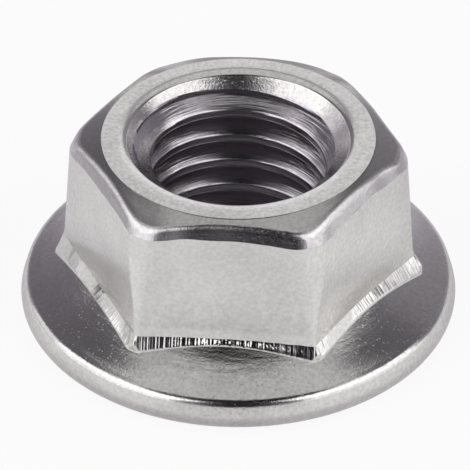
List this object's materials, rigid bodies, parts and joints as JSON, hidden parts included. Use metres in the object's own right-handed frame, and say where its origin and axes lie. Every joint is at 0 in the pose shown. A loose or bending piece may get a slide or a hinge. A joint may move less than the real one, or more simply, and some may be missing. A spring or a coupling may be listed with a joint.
{
  "type": "hexagon flange nut",
  "caption": "Stainless steel nut with a six-sided body, rounded top chamfer and a wide round flange that spreads its load; plain metal thread, no insert.",
  "frame": {"origin": "centre of the bearing face, where the thread's axis meets the surface that the nut stands on", "axes": "+Z along the thread's axis, from the bearing face up to the top ring; two of the six flats face along +Y and -Y"},
  "size_m": [0.0216, 0.0216, 0.0098],
  "materials": {
    "stainless_steel": "bright cold-formed stainless steel, faintly pebbled, with a satin top ring"
  },
  "bodies": {
    "root": {"flange_nut": "stainless_steel"}
  },
  "joints": []
}
